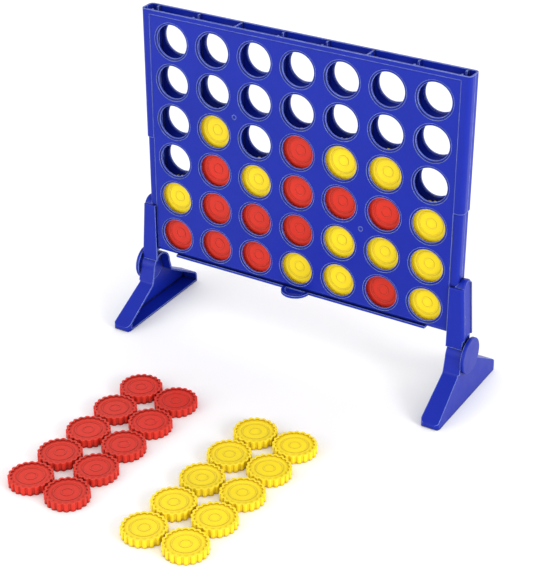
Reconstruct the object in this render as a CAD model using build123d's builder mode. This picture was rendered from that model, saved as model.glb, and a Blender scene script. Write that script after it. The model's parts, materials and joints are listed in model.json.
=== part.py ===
"""Giant four in a row: an upright rack of seven columns by six rows on two folding feet.

Two identical half shells, pegged back to back, make the rack. Discs drop in through its open
top and stand on the rungs of a release bar that slides along the bottom edge. A bracket on each
end post carries a hinged foot, and twenty spare discs lie in two blocks on the ground in front.

Millimetres. +X runs along the rack to the right, +Y points from the players' front to the back,
+Z is up. The origin is on the ground, at the centre of the whole set's footprint.
"""

from build123d import *
import os

os.makedirs("parts", exist_ok=True)

# ---- driving dimensions -----------------------------------------------------------------------

# grid of holes
columns = 7
rows = 6
column_pitch = 75.0
row_pitch = 67.2
hole_radius = 27.2
ring_radius = 30.6
grid_centre_z = 322.0

# rack: both half shells together
rack_y = 231.9
rack_half_width = 280.0
rack_half_depth = 15.0
rack_bottom = 118.0
rack_top = 536.0
corner_radius = 7.5
face_wall = 3.0
side_wall = 2.6
field_half_width = 264.5
field_top = 528.6
field_recess = 0.6
ring_recess = 1.4
collar_height = 1.5
collar_wall = 2.4
post_step_z = 320.0
post_recess = 1.8
skirt_height = 6.0
skirt_depth = 2.4

# dividers between the columns
rib_thickness = 2.4
rib_bottom = 124.0
rib_top_gap = 1.0
stub_gap_half = 6.0
full_rib_columns = 1.5
end_hook_room = 3.0

# pegs that hold the half shells together
boss_radius = 3.7
peg_clear_radius = 1.6
peg_grip_radius = 1.45
peg_shank_radius = 1.4
peg_head_radius = 3.4
peg_head_height = 1.3
peg_pocket_radius = 3.75
peg_pocket_floor = 12.8
peg_reach = 8.0

# discs
disc_radius = 33.5
disc_thickness = 13.5
disc_teeth = 20
tooth_radius = 4.0
valley_radius = 31.1
rim_wall = 3.6
rim_depth = 1.7
dish_radius = 22.8
dish_depth = 0.9
dish_taper = 45.0
emblem_rings = ((20.0, 18.8), (9.0, 7.8))
emblem_height = 0.5
tooth_turn = 7.0

# release bar
bar_half_length = 228.0
bar_bottom = 113.4
bar_top = 117.4
rail_inner = 9.0
rail_outer = 15.6
rung_width = 6.0
rung_crest = 120.45
rung_crest_half = 7.6
hook_neck = 9.3
hook_reach = 11.6
hook_bottom = 119.9
hook_top = 121.6
ledge_top = 119.6
ledge_reach = 9.6
tab_radius = 23.5
tab_dish_radius = 17.0
tab_dish_depth = 1.2

# leg bracket, its outer side leaning in towards the top
hub_z = 79.5
bracket_inner = 266.0
bracket_foot_outer = 296.1
bracket_foot_z = 93.0
bracket_lean = 0.067
bracket_half_depth = 18.0
bracket_wall = 3.0
bracket_shoulder = 198.5
bracket_edge_radius = 4.5
shoulder_radius = 2.0
dome_radius = 14.5
dome_centre_z = 194.5
dome_edge_radius = 3.0
bracket_field_depth = 1.0
bracket_field_border = 3.2
tongue_half_width = 10.0
tongue_inner = 290.0
latch_y = -9.0
latch_z = 142.0
latch_height = 12.0
latch_width = 4.0

# foot, its hub cap and the pivot
foot_inner = 268.5
foot_outer = 299.9
foot_lean = 0.095
foot_wall = 2.6
foot_half_length = 104.5
toe_height = 8.5
heel_height = 17.0
knuckle_radius = 23.5
knuckle_foot_half = 29.3
slope_start_z = 55.0
heel_slope_z = 60.0
drum_foot_z = 57.0
instep_radius = 8.0
heel_radius = 12.0
heel_sole_radius = 9.0
toe_radius = 3.0
toe_plan_radius = 8.0
heel_plan_radius = 5.0
toe_solid = 11.0
clevis_inner = 286.4
hub_radius = 29.5
hub_outer = 302.3
hub_inner = 296.5
hub_edge_radius = 1.5
pivot_radius = 5.0
pivot_boss_radius = 9.0
press_gap = 0.05
running_gap = 0.08
swing_gap = 0.6
cap_window = 5.0
fold_relief_z = 112.0
pivot_head_radius = 7.0
pivot_head_height = 2.0
pivot_pin_length = 8.0

# discs in the rack, each column from the bottom up, and the two blocks of spares
column_fill = ("RY", "RRRY", "RRY", "YRRR", "YYRY", "RYRY", "YYY")
colour_names = {"R": "red", "Y": "yellow"}
spare_rows = 5
spare_columns = 2

# each block of spares: where its first disc lies from the rack's middle, and the steps from one
# disc to the next towards the players and to the right
red_first = Vector(-146.4, -243.0, 0)
red_step_near = Vector(-0.3, -68.9, 0)
red_step_right = Vector(68.0, -4.3, 0)
yellow_first = Vector(70.9, -257.2, 0)
yellow_step_near = Vector(-2.6, -69.2, 0)
yellow_step_right = Vector(68.7, -0.9, 0)

# ---- derived sizes ----------------------------------------------------------------------------

rack_height = rack_top - rack_bottom
wall_inside = rack_half_depth - face_wall
field_face = rack_half_depth - field_recess
row_offset = (rows - 1) / 2
column_offset = (columns - 1) / 2
peg_x = full_rib_columns * column_pitch
first_row_z = grid_centre_z - row_offset * row_pitch
bracket_floor = rack_bottom - bracket_wall
post_face = rack_half_width - post_recess


def ground_plane(height, turn=0.0, x=0.0, y=0.0):
    """A level plane at a height above the ground, turned about its own centre."""
    return Plane(origin=(x, y, height)).rotated((0, 0, turn))


def leaning_side(x, z, lean):
    """The outer side of a leg: it passes through (x, z) and comes in by `lean` for each 1 up."""
    return Plane(origin=(x, rack_y, z), x_dir=(0, 1, 0), z_dir=(1, 0, lean))


def rack_plan(height, side=-1):
    """A level plane through the rack: half shell `side` always lies at negative local y."""
    return Plane(origin=(0, rack_y, height), x_dir=(-side, 0, 0), z_dir=(0, 0, 1))


def rack_face(distance, side=-1):
    """An upright plane parallel to the rack's face, `distance` out from its middle."""
    return Plane(origin=(0, rack_y + side * distance, 0), x_dir=(-side, 0, 0), z_dir=(0, side, 0))


def leg_side(x):
    """An upright plane across the rack, seen from the right: local x is back, local y is up."""
    return Plane(origin=(x, rack_y, 0), x_dir=(0, 1, 0), z_dir=(1, 0, 0))


def save(piece, label):
    """Name a finished piece and write it as its own file."""
    piece.label = label
    export_step(piece, f"parts/{label}.step")


def save_pair(right_piece, label):
    """Write the right-hand piece and its mirror image on the left."""
    save(right_piece, f"right_{label}")
    with BuildPart() as left_piece:
        add(right_piece)
        mirror(about=Plane.YZ, mode=Mode.REPLACE)
    save(left_piece.part, f"left_{label}")


def post_outline(inset):
    """Plan of the rack with its rounded ends, drawn in by `inset` all round."""
    with BuildSketch() as outline:
        RectangleRounded(
            2 * (rack_half_width - inset),
            2 * (rack_half_depth - inset),
            corner_radius - inset,
        )
    return outline.sketch


def make_half_shell(label, side):
    """One half of the rack: a pierced face with its ends turned back to the middle plane."""
    plan = rack_plan(rack_bottom, side)
    half_box = (2 * rack_half_width, rack_half_depth)
    with BuildPart() as shell:
        # outer body, cut back at the middle plane
        with BuildSketch(plan):
            add(post_outline(0))
            with Locations((0, rack_half_depth / 2)):
                Rectangle(*half_box, mode=Mode.SUBTRACT)
        extrude(amount=rack_height)

        # the inside of the rack, open above and below
        with BuildSketch(plan):
            with Locations((0, -wall_inside / 2)):
                Rectangle(2 * field_half_width, wall_inside)
        extrude(amount=rack_height, mode=Mode.SUBTRACT)
        with BuildSketch(plan):
            with Locations((0, -wall_inside / 2)):
                Rectangle(2 * (field_half_width + end_hook_room), wall_inside)
        extrude(amount=rib_bottom - rack_bottom, mode=Mode.SUBTRACT)

        # end posts: hollow, and slimmer below the step where the leg bracket slides on
        with BuildSketch(rack_plan(post_step_z + side_wall, side)):
            add(post_outline(side_wall))
            Rectangle(2 * field_half_width, 2 * rack_half_depth, mode=Mode.SUBTRACT)
        extrude(amount=rack_height, mode=Mode.SUBTRACT)
        with BuildSketch(plan):
            add(post_outline(post_recess + side_wall))
            Rectangle(2 * field_half_width, 2 * rack_half_depth, mode=Mode.SUBTRACT)
        extrude(amount=post_step_z + side_wall - rack_bottom, mode=Mode.SUBTRACT)
        with BuildSketch(plan):
            Rectangle(2 * rack_half_width + 2, 2 * rack_half_depth + 2)
            add(post_outline(post_recess), mode=Mode.SUBTRACT)
            Rectangle(2 * field_half_width, 3 * rack_half_depth, mode=Mode.SUBTRACT)
        extrude(amount=post_step_z - rack_bottom, mode=Mode.SUBTRACT)

        # recessed field of the face
        with BuildSketch(rack_face(field_face, side)):
            with Locations((0, (rack_bottom + field_top) / 2)):
                Rectangle(2 * field_half_width, field_top - rack_bottom)
        extrude(amount=2 * field_recess, mode=Mode.SUBTRACT)

        # dividers: a rib right across beside the middle three columns, short stubs elsewhere
        with BuildSketch(rack_plan(rib_bottom, side)):
            for gap in range(columns + 1):
                x = (gap - columns / 2) * column_pitch
                is_full = abs(x) == peg_x
                reach = 0.0 if is_full else stub_gap_half
                with Locations((x, -(reach + wall_inside + 1) / 2)):
                    Rectangle(rib_thickness, wall_inside + 1 - reach)
        extrude(amount=rack_top - rib_top_gap - rib_bottom)

        # ledge that carries the release bar, and the sloping skirt above its rail
        with BuildSketch(plan):
            with Locations((0, -(ledge_reach + wall_inside + 1) / 2)):
                Rectangle(2 * field_half_width, wall_inside + 1 - ledge_reach)
        extrude(amount=ledge_top - rack_bottom)
        with BuildSketch(Plane(origin=(0, rack_y, 0), x_dir=(0, side, 0), z_dir=(1, 0, 0))):
            with BuildLine():
                Polyline(
                    (field_face - skirt_depth, side * rack_bottom),
                    (field_face, side * (rack_bottom + skirt_height)),
                    (rack_half_depth + 1, side * (rack_bottom + skirt_height)),
                    (rack_half_depth + 1, side * (rack_bottom - 1)),
                    (field_face - skirt_depth, side * (rack_bottom - 1)),
                    close=True,
                )
            make_face()
        extrude(amount=field_half_width, both=True, mode=Mode.SUBTRACT)

        # collars inside the holes, stepped rings outside, and the holes themselves
        grid = GridLocations(column_pitch, row_pitch, columns, rows)
        hole_centres = [(spot.position.X, spot.position.Y + grid_centre_z) for spot in grid]
        with BuildSketch(rack_face(wall_inside - collar_height, side)):
            with Locations(*hole_centres):
                Circle(hole_radius + collar_wall)
        extrude(amount=collar_height)
        with BuildSketch(rack_face(field_face - ring_recess, side)):
            with Locations(*hole_centres):
                Circle(ring_radius)
        extrude(amount=2 * ring_recess, mode=Mode.SUBTRACT)
        with BuildSketch(rack_face(wall_inside - 2 * collar_height, side)):
            with Locations(*hole_centres):
                Circle(hole_radius)
        extrude(amount=rack_half_depth, mode=Mode.SUBTRACT)

        # four peg bosses: two take the heads, the two on the other diagonal grip the shanks
        head_side = [(-peg_x, grid_centre_z + row_pitch), (peg_x, grid_centre_z - row_pitch)]
        grip_side = [(-x, z) for x, z in head_side]
        with BuildSketch(rack_face(0, side)):
            with Locations(*head_side, *grip_side):
                Circle(boss_radius)
        extrude(amount=wall_inside + 0.5)
        with BuildSketch(rack_face(0, side)):
            with Locations(*head_side):
                Circle(peg_clear_radius)
        extrude(amount=rack_half_depth, mode=Mode.SUBTRACT)
        with BuildSketch(rack_face(0, side)):
            with Locations(*grip_side):
                Circle(peg_grip_radius)
        extrude(amount=peg_reach + 1, mode=Mode.SUBTRACT)
        with BuildSketch(rack_face(peg_pocket_floor, side)):
            with Locations(*head_side):
                Circle(peg_pocket_radius)
        extrude(amount=face_wall, mode=Mode.SUBTRACT)
    save(shell.part, label)


def make_panel_pegs():
    """Four round-headed pegs, two pushed in from each face, as separate solids in one group."""
    head_side = [(-peg_x, grid_centre_z + row_pitch), (peg_x, grid_centre_z - row_pitch)]
    with BuildPart() as pegs:
        for side in (-1, 1):
            with BuildSketch(rack_face(peg_pocket_floor, side)):
                with Locations(*head_side):
                    Circle(peg_head_radius)
            extrude(amount=peg_head_height)
            with BuildSketch(rack_face(-peg_reach, side)):
                with Locations(*head_side):
                    Circle(peg_shank_radius)
            extrude(amount=peg_pocket_floor + peg_reach)
    save(pegs.part, "panel_pegs")


def make_release_bar():
    """A ladder under the rack: two rails, a rung below each column and a finger tab in front."""
    rung_centres = [((n - column_offset) * column_pitch, 0) for n in range(columns)]
    rail_centre = (rail_inner + rail_outer) / 2
    with BuildPart() as bar:
        with BuildSketch(rack_plan(bar_bottom)):
            with Locations((0, rail_centre), (0, -rail_centre)):
                Rectangle(2 * bar_half_length, rail_outer - rail_inner)
            with Locations(*rung_centres):
                Rectangle(rung_width, 2 * rail_inner)
            with Locations((0, -rail_outer)):
                Circle(tab_radius)
            with Locations((0, 0)):
                # the tab's circle stays outside the slot that the discs fall through
                Rectangle(column_pitch - rung_width, 2 * rail_inner, mode=Mode.SUBTRACT)
            with Locations((0, 0)):
                Rectangle(rung_width, 2 * rail_inner)
        extrude(amount=bar_top - bar_bottom)

        # crests that the lowest discs stand on, and hooks that run on the shells' ledges
        with BuildSketch(rack_plan(bar_top)):
            with Locations(*rung_centres):
                Rectangle(rung_width, 2 * rung_crest_half)
        extrude(amount=rung_crest - bar_top)
        neck_width = hook_neck - rung_crest_half
        neck_centres = [
            (x, side * (rung_crest_half + neck_width / 2)) for x, _ in rung_centres for side in (-1, 1)
        ]
        with BuildSketch(rack_plan(bar_top)):
            with Locations(*neck_centres):
                Rectangle(rung_width, neck_width)
        extrude(amount=hook_top - bar_top)
        key_width = hook_reach - hook_neck
        key_centres = [
            (x, side * (hook_neck + key_width / 2)) for x, _ in rung_centres for side in (-1, 1)
        ]
        with BuildSketch(rack_plan(hook_bottom)):
            with Locations(*key_centres):
                Rectangle(rung_width, key_width)
        extrude(amount=hook_top - hook_bottom)

        # finger dish in the tab's top face
        with BuildSketch(rack_plan(bar_top)):
            with Locations((0, -rail_outer)):
                Circle(tab_dish_radius)
                with Locations((0, tab_dish_radius / 2)):
                    Rectangle(2 * tab_dish_radius, tab_dish_radius, mode=Mode.SUBTRACT)
        extrude(amount=-tab_dish_depth, taper=30, mode=Mode.SUBTRACT)
    save(bar.part, "release_bar")


def make_brackets():
    """The leg bracket: a sleeve round the lower end post, with a tongue that holds the pivot."""
    outer_side = leaning_side(bracket_foot_outer, bracket_foot_z, bracket_lean)
    cavity_half = bracket_half_depth - bracket_wall
    slant = Vector(-bracket_lean, 0, 1).normalized()
    column_rise = (bracket_shoulder - bracket_foot_z) / slant.Z
    dome_rise = (dome_centre_z - bracket_foot_z) / slant.Z
    with BuildPart() as hollow:
        # behind the outer side above the floor, and everything below the floor
        with BuildSketch(leg_side(post_face + bracket_wall)):
            with Locations((0, (rack_bottom + dome_centre_z) / 2)):
                Rectangle(2 * (dome_radius - bracket_wall), dome_centre_z - rack_bottom)
            with Locations((0, dome_centre_z)):
                Circle(dome_radius - bracket_wall)
        extrude(amount=hub_inner - post_face)
        with BuildSketch(leg_side(bracket_inner - 1)):
            with Locations((0, bracket_floor / 2)):
                Rectangle(2 * cavity_half, bracket_floor)
        extrude(amount=hub_inner - bracket_inner)
        split(bisect_by=outer_side.offset(-bracket_wall), keep=Keep.BOTTOM)

    with BuildPart() as dome:
        with BuildSketch(outer_side):
            with Locations((0, dome_rise)):
                Circle(dome_radius)
        extrude(amount=-(bracket_foot_outer - bracket_inner) / 2)
        fillet(dome.edges().group_by(Axis.X)[-1], dome_edge_radius)

    with BuildPart() as bracket:
        # column, drawn in plan with its outer corners rounded and raised along the lean
        with BuildSketch(Plane(origin=(0, rack_y, bracket_foot_z))) as column_plan:
            width = bracket_foot_outer - bracket_inner
            with Locations((bracket_inner + width / 2, 0)):
                Rectangle(width, 2 * bracket_half_depth)
            fillet(column_plan.vertices().group_by(Axis.X)[-1], bracket_edge_radius)
        extrude(amount=column_rise, dir=slant)
        with BuildSketch(leg_side(bracket_inner)):
            with Locations((0, (bracket_foot_z + bracket_shoulder) / 2)):
                Rectangle(4 * bracket_half_depth, 2 * bracket_shoulder)
        extrude(amount=-width, mode=Mode.SUBTRACT)
        top_edges = bracket.edges().filter_by(Axis.X).group_by(Axis.Z)[-1]
        fillet(top_edges, shoulder_radius)

        # rounded top of the outer side, and a shallow field on it
        add(dome.part)
        with BuildSketch(outer_side):
            with Locations((0, dome_rise / 2)):
                Rectangle(2 * (dome_radius - bracket_field_border), dome_rise)
            with Locations((0, dome_rise)):
                Circle(dome_radius - bracket_field_border)
        extrude(amount=-bracket_field_depth, mode=Mode.SUBTRACT)

        # pocket for the post, down to the floor that the post stands on
        with BuildSketch(rack_plan(rack_bottom)):
            add(post_outline(post_recess))
        extrude(amount=rack_height, mode=Mode.SUBTRACT)
        add(hollow.part, mode=Mode.SUBTRACT)

        # round cuts that clear the knuckle and the hub cap, and room for the foot to fold up
        with BuildSketch(leg_side(bracket_inner - 1)):
            with Locations((0, hub_z)):
                Circle(knuckle_radius + swing_gap)
            with Locations((bracket_half_depth, fold_relief_z / 2)):
                Rectangle(2 * bracket_half_depth, fold_relief_z)
        extrude(amount=2 * width, mode=Mode.SUBTRACT)
        with BuildSketch(leg_side(tongue_inner)):
            with Locations((0, hub_z)):
                Circle(hub_radius + cap_window)
                Rectangle(2 * cavity_half, 4 * hub_radius, mode=Mode.INTERSECT)
        extrude(amount=width, mode=Mode.SUBTRACT)
        with BuildSketch(leg_side(bracket_foot_outer - bracket_wall)):
            with Locations((0, hub_z)):
                Circle(hub_radius + cap_window)
        extrude(amount=width, mode=Mode.SUBTRACT)

        # tongue that reaches down into the knuckle, with the pivot hole, and the latch window
        with BuildSketch(leg_side(tongue_inner)):
            with Locations((0, hub_z)):
                Circle(tongue_half_width)
            with Locations((0, (hub_z + rack_bottom) / 2)):
                Rectangle(2 * tongue_half_width, rack_bottom - hub_z)
        extrude(amount=bracket_wall)
        with BuildSketch(leg_side(tongue_inner - 1)):
            with Locations((0, hub_z)):
                Circle(pivot_radius + running_gap)
        extrude(amount=bracket_wall + 2, mode=Mode.SUBTRACT)
        with BuildSketch(leg_side(post_face + 2 * bracket_wall)):
            with Locations((latch_y, latch_z)):
                SlotOverall(latch_height, latch_width, rotation=90)
        extrude(amount=width, mode=Mode.SUBTRACT)
    save_pair(bracket.part, "bracket")


def foot_outline():
    """Side view of the foot: a flat sole, two long slopes and the round knuckle."""
    with BuildSketch() as outline:
        with BuildLine():
            edge = Polyline(
                (-knuckle_radius, hub_z),
                (-knuckle_foot_half, slope_start_z),
                (-foot_half_length, toe_height),
                (-foot_half_length, 0),
                (foot_half_length, 0),
                (foot_half_length, heel_height),
                (knuckle_foot_half, heel_slope_z),
                (knuckle_radius, hub_z),
            )
            ThreePointArc(edge @ 1, (0, hub_z + knuckle_radius), edge @ 0)
        make_face()
        insteps = [v for v in outline.vertices() if abs(abs(v.X) - knuckle_foot_half) < 0.1]
        fillet(insteps, instep_radius)
        toe_corners = [v for v in outline.vertices() if v.X < 1 - foot_half_length]
        fillet(toe_corners, toe_radius)
        heel_corners = [v for v in outline.vertices() if v.X > foot_half_length - 1]
        fillet([v for v in heel_corners if v.Y > 1], heel_radius)
        fillet([v for v in heel_corners if v.Y < 1], heel_sole_radius)
    return outline.sketch


def make_feet():
    """The foot: a leaning shell open on its inner side, with a slot in its drum for the tongue."""
    outline = foot_outline()
    outer_side = leaning_side(foot_outer, 0, foot_lean)
    width = foot_outer - foot_inner
    with BuildSketch() as inside:
        add(outline)
        offset(amount=-foot_wall, mode=Mode.REPLACE)
    with BuildSketch() as drum:
        add(outline)
        with Locations((0, drum_foot_z)):
            Rectangle(4 * hub_radius, hub_z, align=(Align.CENTER, Align.MIN), mode=Mode.INTERSECT)
    with BuildSketch() as drum_inside:
        add(inside.sketch)
        with Locations((0, drum_foot_z + foot_wall)):
            Rectangle(4 * hub_radius, hub_z, align=(Align.CENTER, Align.MIN), mode=Mode.INTERSECT)
    with BuildPart() as hollow:
        with BuildSketch(leg_side(foot_inner)):
            add(inside.sketch)
            with Locations((-foot_half_length, 0)):
                Rectangle(2 * toe_solid, 4 * toe_height, mode=Mode.SUBTRACT)
        extrude(amount=width)
        split(bisect_by=outer_side.offset(-foot_wall), keep=Keep.BOTTOM)
        with BuildSketch(leg_side(foot_inner)):
            add(drum_inside.sketch)
        extrude(amount=hub_inner - foot_wall - foot_inner)

    with BuildPart() as foot:
        with BuildSketch(leg_side(foot_inner)):
            add(outline)
        extrude(amount=width + 1)
        split(bisect_by=outer_side, keep=Keep.BOTTOM)
        with BuildSketch(Plane(origin=(foot_inner + width / 2, rack_y, -1))) as sole_plan:
            Rectangle(width, 2 * foot_half_length)
            toe_end = sole_plan.vertices().group_by(Axis.Y)[0]
            fillet(toe_end, toe_plan_radius)
            heel_end = sole_plan.vertices().group_by(Axis.Y)[-1]
            fillet(heel_end.sort_by(Axis.X)[-1], heel_plan_radius)
        extrude(amount=2 * hub_z, mode=Mode.INTERSECT)
        with BuildSketch(leg_side(foot_inner)):
            add(drum.sketch)
        extrude(amount=hub_inner - foot_inner)
        add(hollow.part, mode=Mode.SUBTRACT)

        # inner plate of the knuckle, and the slot between it and the drum's outer wall
        with BuildSketch(leg_side(clevis_inner)):
            with Locations((0, hub_z)):
                Circle(hub_radius + foot_wall)
            add(inside.sketch, mode=Mode.INTERSECT)
        extrude(amount=foot_wall)
        with BuildSketch(leg_side(tongue_inner - swing_gap)):
            slot_edge = tongue_half_width + swing_gap
            with Locations((-slot_edge, hub_z - slot_edge)):
                Rectangle(3 * slot_edge + hub_radius, 4 * slot_edge, align=(Align.MIN, Align.MIN))
        extrude(amount=bracket_wall + 2 * swing_gap, mode=Mode.SUBTRACT)
        with BuildSketch(leg_side(foot_inner)):
            with Locations((0, hub_z)):
                Circle(pivot_radius + press_gap)
        extrude(amount=width, mode=Mode.SUBTRACT)
    save_pair(foot.part, "foot")


def make_hub_caps():
    """The round cap on the outside of the foot; its spigot is the shaft that the foot turns on."""
    spigot_end = clevis_inner - 0.1
    with BuildPart() as cap:
        with BuildSketch(leg_side(hub_inner)):
            with Locations((0, hub_z)):
                Circle(hub_radius)
        extrude(amount=hub_outer - hub_inner)
        fillet(cap.edges().group_by(Axis.X)[-1], hub_edge_radius)
        with BuildSketch(leg_side(hub_inner)):
            with Locations((0, hub_z)):
                Circle(knuckle_radius - foot_wall)
                Circle(pivot_boss_radius, mode=Mode.SUBTRACT)
        extrude(amount=hub_outer - hub_inner - foot_wall, mode=Mode.SUBTRACT)
        with BuildSketch(leg_side(spigot_end)):
            with Locations((0, hub_z)):
                Circle(pivot_radius)
        extrude(amount=hub_inner - spigot_end)
        with BuildSketch(leg_side(spigot_end)):
            with Locations((0, hub_z)):
                Circle(peg_grip_radius)
        extrude(amount=pivot_pin_length + 1, mode=Mode.SUBTRACT)
    save_pair(cap.part, "hub_cap")


def make_pivot_pins():
    """A flat-headed pin in the end of each spigot keeps the foot on the bracket's tongue."""
    spigot_end = clevis_inner - 0.1
    with BuildPart() as pin:
        with BuildSketch(leg_side(spigot_end)):
            with Locations((0, hub_z)):
                Circle(pivot_head_radius)
        extrude(amount=-pivot_head_height)
        chamfer(pin.edges().group_by(Axis.X)[0], 0.8)
        with BuildSketch(leg_side(spigot_end)):
            with Locations((0, hub_z)):
                Circle(peg_shank_radius)
        extrude(amount=pivot_pin_length)
    save_pair(pin.part, "pivot_pin")


def scalloped_outline(inset):
    """Edge of a disc: rounded teeth on a circle, drawn in by `inset`."""
    with BuildSketch() as edge:
        Circle(valley_radius - inset)
        with PolarLocations(disc_radius - tooth_radius - inset, disc_teeth):
            Circle(tooth_radius)
    return edge.sketch


def make_disc(label, place, outer_edge, inner_edge):
    """One disc centred on `place`, both faces dished inside a toothed rim."""
    half = disc_thickness / 2
    dish_floor = half - rim_depth - dish_depth
    faces = (place, Plane(origin=place.origin, x_dir=place.x_dir, z_dir=-place.z_dir))
    with BuildPart() as disc:
        with BuildSketch(place):
            add(outer_edge)
        extrude(amount=half, both=True)
        for face in faces:
            with BuildSketch(face.offset(half)):
                add(inner_edge)
            extrude(amount=-rim_depth, mode=Mode.SUBTRACT)
            with BuildSketch(face.offset(half - rim_depth)):
                Circle(dish_radius)
            extrude(amount=-dish_depth, taper=dish_taper, mode=Mode.SUBTRACT)
            with BuildSketch(face.offset(dish_floor)):
                for outside, inside in emblem_rings:
                    Circle(outside)
                    Circle(inside, mode=Mode.SUBTRACT)
            extrude(amount=emblem_height)
    save(disc.part, label)


def make_racked_discs(outer_edge, inner_edge):
    """The discs standing in the rack, each named by its colour, column and row."""
    for column, fill in enumerate(column_fill, start=1):
        for row, letter in enumerate(fill, start=1):
            centre = (
                (column - 1 - column_offset) * column_pitch,
                rack_y,
                first_row_z + (row - 1) * row_pitch,
            )
            turn = tooth_turn * (column + 2 * row)
            upright = Plane(origin=centre, x_dir=(1, 0, 0), z_dir=(0, -1, 0)).rotated((0, turn, 0))
            place = Plane(origin=centre, x_dir=upright.x_dir, z_dir=(0, -1, 0))
            label = f"{colour_names[letter]}_disc_c{column}_r{row}"
            make_disc(label, place, outer_edge, inner_edge)


def make_spare_discs(colour, first, step_near, step_right, outer_edge, inner_edge):
    """A block of spare discs lying flat on the ground, in front of the rack."""
    rack_middle = Vector(0, rack_y, 0)
    for number in range(spare_rows * spare_columns):
        across, near = divmod(number, spare_rows)
        centre = rack_middle + first + step_near * near + step_right * across
        turn = tooth_turn * (number + 1)
        place = ground_plane(disc_thickness / 2, turn, centre.X, centre.Y)
        make_disc(f"{colour}_spare_{number + 1:02d}", place, outer_edge, inner_edge)


make_half_shell("front_panel", -1)
make_half_shell("rear_panel", 1)
make_panel_pegs()
make_release_bar()
make_brackets()
make_feet()
make_hub_caps()
make_pivot_pins()
tooth_edge = scalloped_outline(0)
rim_edge = scalloped_outline(rim_wall)
make_racked_discs(tooth_edge, rim_edge)
make_spare_discs("red", red_first, red_step_near, red_step_right, tooth_edge, rim_edge)
make_spare_discs("yellow", yellow_first, yellow_step_near, yellow_step_right, tooth_edge, rim_edge)
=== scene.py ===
"""Studio scene of the giant four in a row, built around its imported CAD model.

Metres. The CAD nodes carry all the shapes; this script gives them their moulded plastics, and
sets up the floor, the lights and the camera.
"""

import json
import math

import bpy
from mathutils import Matrix, Vector

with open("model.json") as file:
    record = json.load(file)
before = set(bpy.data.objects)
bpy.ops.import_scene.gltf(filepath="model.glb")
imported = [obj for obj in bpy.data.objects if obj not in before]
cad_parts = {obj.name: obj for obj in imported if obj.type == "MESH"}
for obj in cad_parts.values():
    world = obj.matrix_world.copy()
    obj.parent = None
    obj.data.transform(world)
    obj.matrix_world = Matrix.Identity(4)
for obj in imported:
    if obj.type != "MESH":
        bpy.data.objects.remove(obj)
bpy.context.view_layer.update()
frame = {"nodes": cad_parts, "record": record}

# ---- driving values ---------------------------------------------------------------------------

# linear colours of the plastics, as (base, painted edge highlight, painted corner shade): the
# edges get a lighter painted highlight, and the inner corners a painted darker line
BLUE = ((0.005, 0.019, 0.345), (0.420, 0.560, 1.000), (0.002, 0.004, 0.060))
RED = ((0.690, 0.033, 0.018), (0.930, 0.150, 0.090), (0.210, 0.008, 0.006))
YELLOW = ((0.960, 0.740, 0.018), (1.000, 0.890, 0.200), (0.520, 0.300, 0.004))
FLOOR_COLOUR = (0.95, 0.95, 0.95, 1.0)

# each plastic's roughness, and how far its edges round off, which also sets the painted
# highlight's width
BLUE_FINISH = (0.36, 0.0015)
DISC_FINISH = (0.38, 0.0007)

# reach of the painted shade in an inner corner, and depth of the moulded skin
PAINTED_SHADE_REACH = 0.005
SKIN_DEPTH = 0.0012

# noise scales, in blobs per metre, from the broadest to the finest
FLOOR_SCALE = 3.0
FLOW_SCALE = 9.0
SINK_SCALE = 28.0
MOTTLE_SCALE = 45.0
WEAR_SCALE = 70.0
SKIN_SCALE = 1500.0
RUB_SCALES = (40.0, 900.0, 160.0)
RUB_TURN = (0.3, 0.2, 0.5)

# the camera looks down at the front of the rack from its right
CAMERA_PLACE = Vector((1.1352, -1.7619, 1.4024))
CAMERA_YAW = math.radians(30.634)
CAMERA_PITCH = math.radians(29.493)
CAMERA_ROLL = math.radians(0.016)
SENSOR = 36.0
FOCAL_PIXELS = 1642.0
FRAME_HEIGHT = 584

FLOOR_HALF = 12.0
FLOOR_DROP = 0.0004

# soft boxes: name, place, side and power; all aim at one point of the set
LIGHT_TARGET = (0.0, 0.0, 0.2)
SOFT_BOXES = (
    ("key_light", (3.0, -0.6, 1.2), 1.2, 52.0),
    ("fill_light", (-1.6, -2.8, 0.9), 1.6, 34.0),
    ("back_light", (-0.6, 2.4, 2.2), 1.4, 10.0),
)


# ---- materials --------------------------------------------------------------------------------

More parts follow.
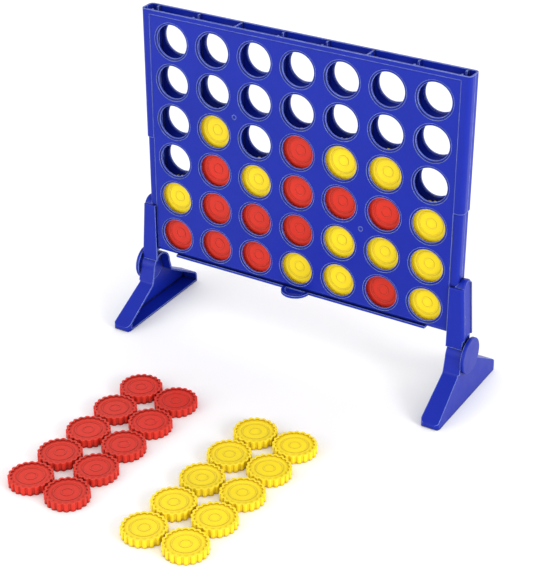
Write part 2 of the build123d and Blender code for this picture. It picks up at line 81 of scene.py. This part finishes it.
class NodeTree:
    """A material's node tree with short calls to add and join nodes."""

    def __init__(self, name):
        self.material = bpy.data.materials.new(name)
        self.material.use_nodes = True
        self.tree = self.material.node_tree
        self.tree.nodes.clear()

    def add(self, kind, inputs=None, **settings):
        """Add a node, set its properties, and fill or join its inputs by name or number."""
        node = self.tree.nodes.new(kind)
        for key, value in settings.items():
            setattr(node, key, value)
        for key, value in (inputs or {}).items():
            if isinstance(value, bpy.types.NodeSocket):
                self.tree.links.new(value, node.inputs[key])
            else:
                node.inputs[key].default_value = value
        return node

    def ramp(self, value, low, high, out_low, out_high):
        """Map a value from one range to another, held at both ends."""
        node = self.add(
            "ShaderNodeMapRange",
            {
                "Value": value,
                "From Min": low,
                "From Max": high,
                "To Min": out_low,
                "To Max": out_high,
            },
        )
        return node.outputs["Result"]

    def maths(self, operation, first, second=0.0):
        """One arithmetic node."""
        node = self.add("ShaderNodeMath", {0: first, 1: second}, operation=operation)
        return node.outputs["Value"]

    def noise(self, coordinates, scale, detail=3.0, roughness=0.55):
        """A noise texture's grey value; scale counts blobs per metre."""
        node = self.add(
            "ShaderNodeTexNoise",
            {"Vector": coordinates, "Scale": scale, "Detail": detail, "Roughness": roughness},
        )
        return node.outputs["Fac"]

    def mix(self, share, first, second):
        """Blend two colours."""
        node = self.add("ShaderNodeMix", {"Factor": share}, data_type="RGBA")
        for socket, value in ((node.inputs[6], first), (node.inputs[7], second)):
            if isinstance(value, bpy.types.NodeSocket):
                self.tree.links.new(value, socket)
            else:
                socket.default_value = value
        return node.outputs[2]

    def edge_share(self, radius):
        """How near a sharp edge the surface is, 0 on a flat, and the rounded normal there."""
        bevel = self.add("ShaderNodeBevel", {"Radius": radius}, samples=6)
        geometry = self.add("ShaderNodeNewGeometry")
        dot = self.add(
            "ShaderNodeVectorMath",
            {0: bevel.outputs["Normal"], 1: geometry.outputs["Normal"]},
            operation="DOT_PRODUCT",
        )
        share = self.ramp(dot.outputs["Value"], 0.995, 0.80, 0.0, 1.0)
        return share, bevel.outputs["Normal"]


def moulded_plastic(name, colours, finish):
    """Injection-moulded plastic: flow tone, fine skin, handling rubs, painted edge highlight,
    corner shade.
    """
    roughness, edge_radius = finish
    # the second colour is a painted edge highlight, the third a painted shade for inner corners
    base, edge, painted_shade = (tuple(colour) + (1.0,) for colour in colours)
    deep = tuple(0.86 * channel for channel in colours[0]) + (1.0,)
    nodes = NodeTree(name)
    place = nodes.add("ShaderNodeTexCoord").outputs["Object"]
    share, rounded = nodes.edge_share(edge_radius)

    # slow drift of tone from the melt's flow, and a slightly different shade for each piece
    flow = nodes.noise(place, FLOW_SCALE, detail=4.0, roughness=0.6)
    piece = nodes.add("ShaderNodeObjectInfo").outputs["Random"]
    tone = nodes.maths(
        "ADD", nodes.maths("MULTIPLY", flow, 0.8), nodes.maths("MULTIPLY", piece, 0.2)
    )
    body = nodes.mix(nodes.ramp(tone, 0.30, 0.70, 0.0, 1.0), deep, base)

    # the painted edge highlight is broken up in patches, so it doesn't read as a drawn line
    painted_highlight_patches = nodes.ramp(nodes.noise(place, WEAR_SCALE), 0.38, 0.62, 0.65, 1.0)
    colour = nodes.mix(nodes.maths("MULTIPLY", share, painted_highlight_patches), body, edge)

    # painted shade: an occlusion mask darkens seams and inner corners towards a dark colour
    corner_occlusion = nodes.add("ShaderNodeAmbientOcclusion", {"Distance": PAINTED_SHADE_REACH}, samples=8)
    painted_shade_share = nodes.ramp(corner_occlusion.outputs["AO"], 0.50, 0.95, 1.0, 0.0)
    colour = nodes.mix(painted_shade_share, colour, painted_shade)

    # handling leaves long faint rubs: stretched noise raises the roughness along them
    stretched = nodes.add(
        "ShaderNodeMapping",
        {"Vector": place, "Rotation": RUB_TURN, "Scale": RUB_SCALES},
    )
    streaks = nodes.noise(stretched.outputs["Vector"], 1.0, detail=2.0)
    rubs = nodes.ramp(streaks, 0.60, 0.80, 0.0, 0.06)
    blotches = nodes.noise(place, MOTTLE_SCALE)
    mottle = nodes.ramp(blotches, 0.30, 0.70, roughness - 0.04, roughness + 0.05)

    # the fine skin that the mould leaves, with a shallow sink over larger spans
    skin = nodes.noise(place, SKIN_SCALE, detail=2.0)
    sink = nodes.noise(place, SINK_SCALE, detail=1.0)
    relief = nodes.maths("ADD", nodes.maths("MULTIPLY", skin, 0.02), sink)
    bump = nodes.add(
        "ShaderNodeBump",
        {"Strength": 0.35, "Distance": SKIN_DEPTH, "Height": relief, "Normal": rounded},
    )
    shader = nodes.add(
        "ShaderNodeBsdfPrincipled",
        {
            "Base Color": colour,
            "Roughness": nodes.maths("ADD", mottle, rubs),
            "IOR": 1.49,
            "Specular IOR Level": 0.18,
            "Normal": bump.outputs["Normal"],
        },
    )
    nodes.add("ShaderNodeOutputMaterial", {"Surface": shader.outputs["BSDF"]})
    return nodes.material


def studio_floor_material():
    """Matt pale board with a barely visible mottle."""
    nodes = NodeTree("studio_floor")
    place = nodes.add("ShaderNodeTexCoord").outputs["Object"]
    mottle = nodes.noise(place, FLOOR_SCALE)
    shade = tuple(0.985 * channel for channel in FLOOR_COLOUR[:3]) + (1.0,)
    shader = nodes.add(
        "ShaderNodeBsdfPrincipled",
        {
            "Base Color": nodes.mix(mottle, FLOOR_COLOUR, shade),
            "Roughness": nodes.ramp(mottle, 0.3, 0.7, 0.75, 0.85),
            "Specular IOR Level": 0.2,
        },
    )
    nodes.add("ShaderNodeOutputMaterial", {"Surface": shader.outputs["BSDF"]})
    return nodes.material


def assign(node_name, material):
    """Give a CAD node one material on all of its slots."""
    mesh_object = frame["nodes"][node_name]
    if not mesh_object.material_slots:
        mesh_object.data.materials.append(material)
    for slot in mesh_object.material_slots:
        slot.material = material


def dress_cad_nodes():
    """Each CAD node takes the material of the slot that the record gives it."""
    materials = {
        "blue_plastic": moulded_plastic("blue_moulded", BLUE, BLUE_FINISH),
        "red_plastic": moulded_plastic("red_moulded", RED, DISC_FINISH),
        "yellow_plastic": moulded_plastic("yellow_moulded", YELLOW, DISC_FINISH),
    }
    for entry in frame["record"]["subparts"]:
        assign(entry["node"], materials[entry["material_slot"]])


# ---- studio -----------------------------------------------------------------------------------

def make_floor():
    """A wide flat floor, just below the height that the feet stand on."""
    corners = [
        (x * FLOOR_HALF, y * FLOOR_HALF, -FLOOR_DROP)
        for x, y in ((-1, -1), (1, -1), (1, 1), (-1, 1))
    ]
    mesh = bpy.data.meshes.new("studio_floor")
    mesh.from_pydata(corners, [], [(0, 1, 2, 3)])
    floor = bpy.data.objects.new("studio_floor", mesh)
    bpy.context.scene.collection.objects.link(floor)
    mesh.materials.append(studio_floor_material())


def soft_light(name, place, size, power):
    """A square soft box aimed at the set."""
    lamp = bpy.data.lights.new(name, "AREA")
    lamp.shape = "SQUARE"
    lamp.size = size
    lamp.energy = power
    holder = bpy.data.objects.new(name, lamp)
    holder.location = place
    aim = Vector(LIGHT_TARGET) - Vector(place)
    holder.rotation_euler = aim.to_track_quat("-Z", "Y").to_euler()
    bpy.context.scene.collection.objects.link(holder)


def make_lights():
    """An even white surround, a key from the right, a front fill and a light from behind."""
    world = bpy.data.worlds.new("studio")
    world.use_nodes = True
    background = world.node_tree.nodes["Background"]
    background.inputs["Color"].default_value = (1.0, 1.0, 1.0, 1.0)
    background.inputs["Strength"].default_value = 1.0
    bpy.context.scene.world = world
    for name, place, size, power in SOFT_BOXES:
        soft_light(name, place, size, power)


def make_camera():
    """The camera that frames the set as it is usually shown."""
    lens = bpy.data.cameras.new("camera")
    lens.sensor_width = SENSOR
    lens.lens = FOCAL_PIXELS / FRAME_HEIGHT * SENSOR
    lens.clip_start = 0.05
    lens.clip_end = 60.0
    camera = bpy.data.objects.new("camera", lens)
    turn = (
        Matrix.Rotation(CAMERA_YAW, 4, "Z")
        @ Matrix.Rotation(math.pi / 2 - CAMERA_PITCH, 4, "X")
        @ Matrix.Rotation(CAMERA_ROLL, 4, "Z")
    )
    camera.matrix_world = Matrix.Translation(CAMERA_PLACE) @ turn
    bpy.context.scene.collection.objects.link(camera)
    bpy.context.scene.camera = camera


dress_cad_nodes()
make_floor()
make_lights()
make_camera()
bpy.context.scene.view_settings.view_transform = "Standard"
